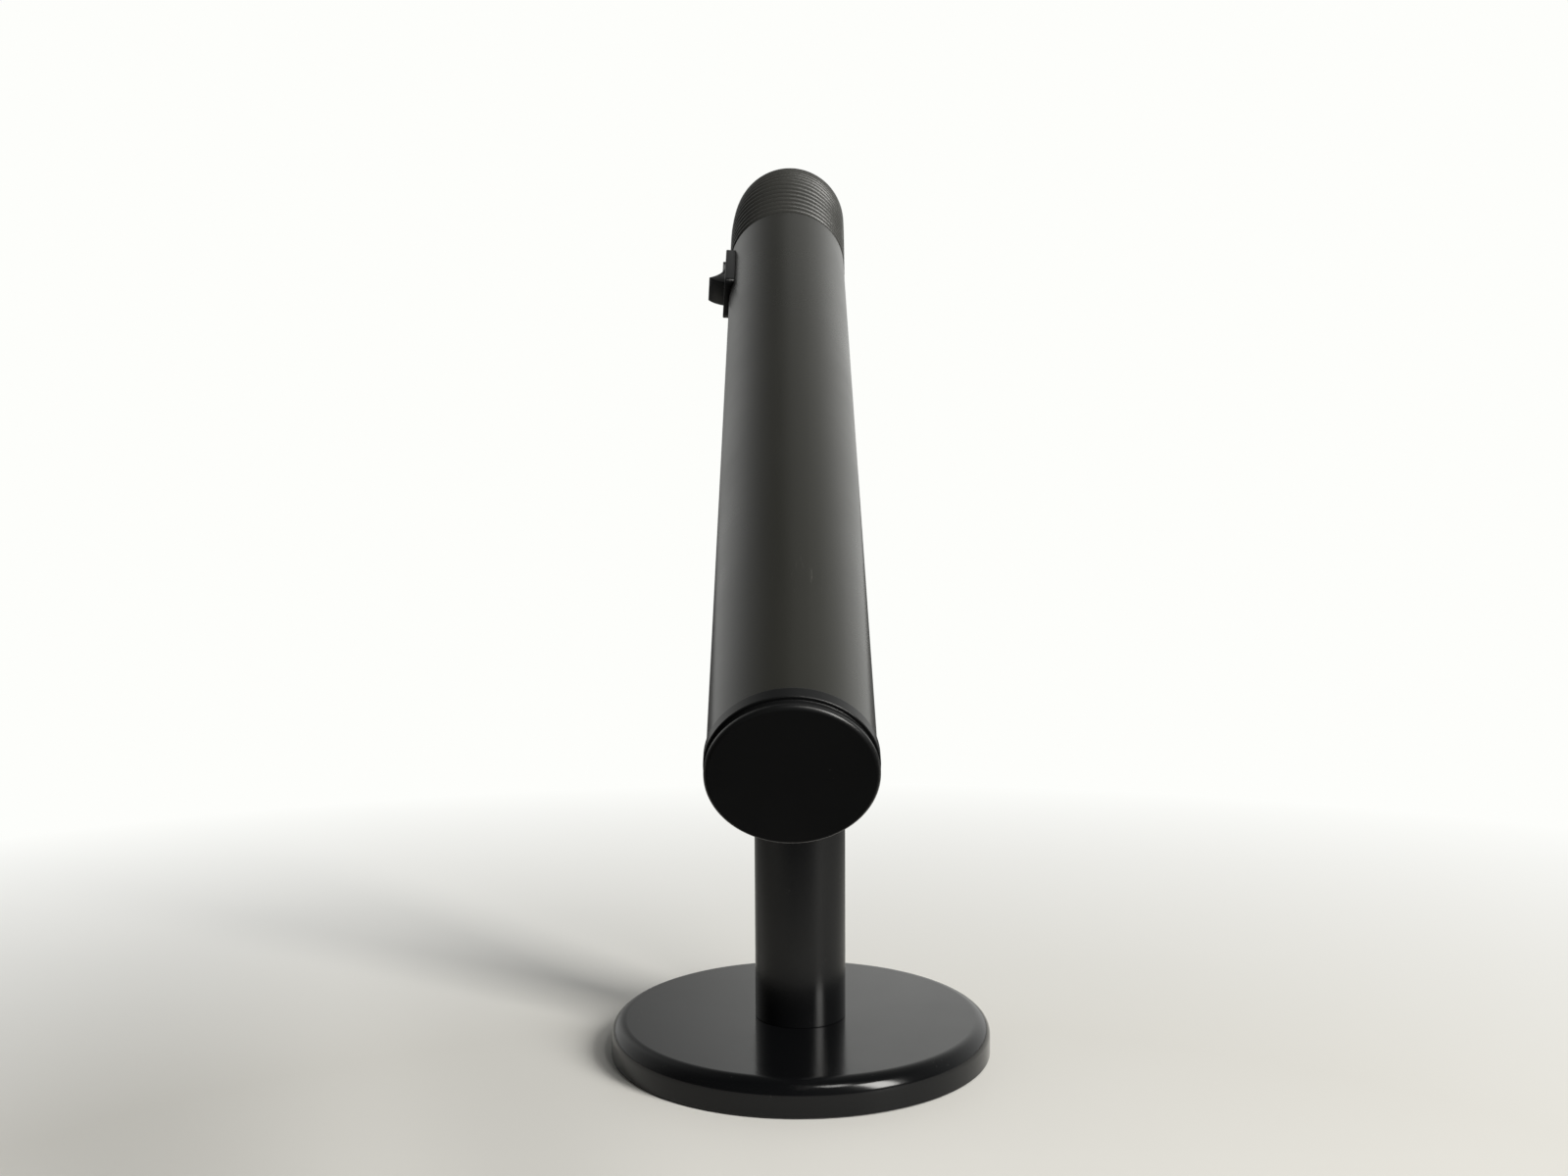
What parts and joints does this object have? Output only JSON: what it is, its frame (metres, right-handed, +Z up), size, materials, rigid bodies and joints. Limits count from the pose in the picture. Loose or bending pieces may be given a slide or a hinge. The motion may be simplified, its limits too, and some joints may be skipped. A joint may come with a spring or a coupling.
{
  "type": "tubular desk lamp with ribbed flexible neck",
  "caption": "Desk lamp: round weighted base, post tube, ribbed flexible neck arching over and a long sloping head tube with a rocker switch and an end cap.",
  "frame": {"origin": "centre of the base's underside, on the tabletop", "axes": "+Z up along the post; the head reaches toward -Y; the switch is on the -X side"},
  "size_m": [0.21, 0.5975, 0.469],
  "materials": {
    "base_paint": "gloss black enamel",
    "post_paint": "semi-gloss black enamel",
    "head_paint": "satin black enamel",
    "hose_rubber": "satin moulded rubber",
    "cap_plastic": "matte moulded plastic",
    "switch_plastic": "gloss moulded plastic",
    "ballast_iron": "rough casting",
    "felt": "pressed felt",
    "grommet_rubber": "matte",
    "steel": "turned",
    "zinc_screw": "zinc plated",
    "ferrule_aluminium": "turned",
    "conduit_steel": "rolled strip",
    "reflector_white": "white enamel",
    "holder_plastic": "white moulded plastic",
    "terminal_plastic": "natural polyamide",
    "lamp_glass": "opal coated glass",
    "lamp_metal": "pressed",
    "brass": "bright",
    "starter_plastic": "white moulded plastic"
  },
  "bodies": {
    "stand": {"base_shell": "base_paint", "base_ballast": "ballast_iron", "felt_pad": "felt", "cord_grommet": "grommet_rubber", "post_tube": "post_paint", "post_foot_plug": "steel", "clamp_bolt": "zinc_screw", "clamp_washer": "zinc_screw", "terminal_block": "terminal_plastic", "terminal_screws": "zinc_screw", "set_screw_lower": "zinc_screw"},
    "neck_foot": {"neck_ferrule_lower": "ferrule_aluminium", "neck_hose_foot": "hose_rubber", "gooseneck_foot": "conduit_steel"},
    "neck_link_01": {"neck_hose_01": "hose_rubber", "gooseneck_01": "conduit_steel"},
    "neck_link_02": {"neck_hose_02": "hose_rubber", "gooseneck_02": "conduit_steel"},
    "neck_link_03": {"neck_hose_03": "hose_rubber", "gooseneck_03": "conduit_steel"},
    "neck_link_04": {"neck_hose_04": "hose_rubber", "gooseneck_04": "conduit_steel"},
    "neck_link_05": {"neck_hose_05": "hose_rubber", "gooseneck_05": "conduit_steel"},
    "neck_link_06": {"neck_hose_06": "hose_rubber", "gooseneck_06": "conduit_steel"},
    "neck_link_07": {"neck_hose_07": "hose_rubber", "gooseneck_07": "conduit_steel"},
    "neck_link_08": {"neck_hose_08": "hose_rubber", "gooseneck_08": "conduit_steel"},
    "neck_link_09": {"neck_hose_09": "hose_rubber", "gooseneck_09": "conduit_steel"},
    "neck_link_10": {"neck_hose_10": "hose_rubber", "gooseneck_10": "conduit_steel"},
    "neck_link_11": {"neck_hose_11": "hose_rubber", "gooseneck_11": "conduit_steel"},
    "neck_end": {"neck_hose_end": "hose_rubber", "gooseneck_end": "conduit_steel", "neck_ferrule_upper": "ferrule_aluminium"},
    "head": {"head_tube": "head_paint", "end_cap": "cap_plastic", "reflector": "reflector_white", "reflector_rivets": "lamp_metal", "lampholder_rear": "holder_plastic", "lampholder_front": "holder_plastic", "holder_screws": "zinc_screw", "starter_socket": "holder_plastic", "starter": "starter_plastic", "set_screw_upper": "zinc_screw", "switch_housing": "switch_plastic", "switch_pin": "steel", "switch_terminals": "brass"},
    "rocker": {"switch_rocker": "switch_plastic"},
    "lamp": {"lamp_glass": "lamp_glass", "lamp_caps": "lamp_metal", "lamp_pins": "brass", "lamp_rotors": "holder_plastic"}
  },
  "joints": [
    {"name": "neck_turn", "type": "hinge", "parent": "stand", "child": "neck_foot", "pos_m": [0, 0, 0.3346], "axis": [0, 0, 1], "range_deg": [-90, 90]},
    {"name": "neck_bend_01", "type": "hinge", "parent": "neck_foot", "child": "neck_link_01", "pos_m": [-0.00002, -0.00036, 0.35403], "axis": [0.9991, -0.0415, 0], "range_deg": [-9.5, 1.2]},
    {"name": "neck_bend_02", "type": "hinge", "parent": "neck_link_01", "child": "neck_link_02", "pos_m": [-0.00014, -0.00325, 0.37064], "axis": [0.9991, -0.0415, 0], "range_deg": [-9.5, 1.2]},
    {"name": "neck_bend_03", "type": "hinge", "parent": "neck_link_02", "child": "neck_link_03", "pos_m": [-0.00037, -0.00894, 0.38651], "axis": [0.9991, -0.0415, 0], "range_deg": [-9.5, 1.2]},
    {"name": "neck_bend_04", "type": "hinge", "parent": "neck_link_03", "child": "neck_link_04", "pos_m": [-0.00072, -0.01727, 0.40118], "axis": [0.9991, -0.0415, 0], "range_deg": [-9.5, 1.2]},
    {"name": "neck_bend_05", "type": "hinge", "parent": "neck_link_04", "child": "neck_link_05", "pos_m": [-0.00116, -0.02798, 0.41419], "axis": [0.9991, -0.0415, 0], "range_deg": [-9.5, 1.2]},
    {"name": "neck_bend_06", "type": "hinge", "parent": "neck_link_05", "child": "neck_link_06", "pos_m": [-0.00169, -0.04076, 0.42517], "axis": [0.9991, -0.0415, 0], "range_deg": [-9.5, 1.2]},
    {"name": "neck_bend_07", "type": "hinge", "parent": "neck_link_06", "child": "neck_link_07", "pos_m": [-0.0023, -0.05524, 0.4338], "axis": [0.9991, -0.0415, 0], "range_deg": [-9.5, 1.2]},
    {"name": "neck_bend_08", "type": "hinge", "parent": "neck_link_07", "child": "neck_link_08", "pos_m": [-0.00295, -0.07098, 0.43982], "axis": [0.9991, -0.0415, 0], "range_deg": [-9.5, 1.2]},
    {"name": "neck_bend_09", "type": "hinge", "parent": "neck_link_08", "child": "neck_link_09", "pos_m": [-0.00364, -0.08751, 0.44305], "axis": [0.9991, -0.0415, 0], "range_deg": [-9.5, 1.2]},
    {"name": "neck_bend_10", "type": "hinge", "parent": "neck_link_09", "child": "neck_link_10", "pos_m": [-0.00434, -0.10436, 0.44339], "axis": [0.9991, -0.0415, 0], "range_deg": [-9.5, 1.2]},
    {"name": "neck_bend_11", "type": "hinge", "parent": "neck_link_10", "child": "neck_link_11", "pos_m": [-0.00503, -0.12101, 0.44083], "axis": [0.9991, -0.0415, 0], "range_deg": [-9.5, 1.2]},
    {"name": "neck_bend_12", "type": "hinge", "parent": "neck_link_11", "child": "neck_end", "pos_m": [-0.00569, -0.13698, 0.43546], "axis": [0.9991, -0.0415, 0], "range_deg": [-9.5, 1.2]},
    {"name": "head_turn", "type": "hinge", "parent": "neck_end", "child": "head", "pos_m": [-0.00601, -0.1727, 0.41652], "axis": [0, -0.8792, -0.4764], "range_deg": [-90, 90]},
    {"name": "switch_rock", "type": "hinge", "parent": "head", "child": "rocker", "pos_m": [-0.03075, -0.18979, 0.40923], "axis": [-0.0698, 0.4752, -0.8771], "range_deg": [-36, 0]},
    {"name": "lamp_twist", "type": "hinge", "parent": "head", "child": "lamp", "pos_m": [-0.00601, -0.33927, 0.32513], "axis": [0, -0.8792, -0.4764], "range_deg": [0, 90]}
  ],
  "couplings": [
    {"joint": "neck_bend_02", "follows": "neck_bend_01", "ratio": 1},
    {"joint": "neck_bend_03", "follows": "neck_bend_01", "ratio": 1},
    {"joint": "neck_bend_04", "follows": "neck_bend_01", "ratio": 1},
    {"joint": "neck_bend_05", "follows": "neck_bend_01", "ratio": 1},
    {"joint": "neck_bend_06", "follows": "neck_bend_01", "ratio": 1},
    {"joint": "neck_bend_07", "follows": "neck_bend_01", "ratio": 1},
    {"joint": "neck_bend_08", "follows": "neck_bend_01", "ratio": 1},
    {"joint": "neck_bend_09", "follows": "neck_bend_01", "ratio": 1},
    {"joint": "neck_bend_10", "follows": "neck_bend_01", "ratio": 1},
    {"joint": "neck_bend_11", "follows": "neck_bend_01", "ratio": 1},
    {"joint": "neck_bend_12", "follows": "neck_bend_01", "ratio": 1}
  ]
}
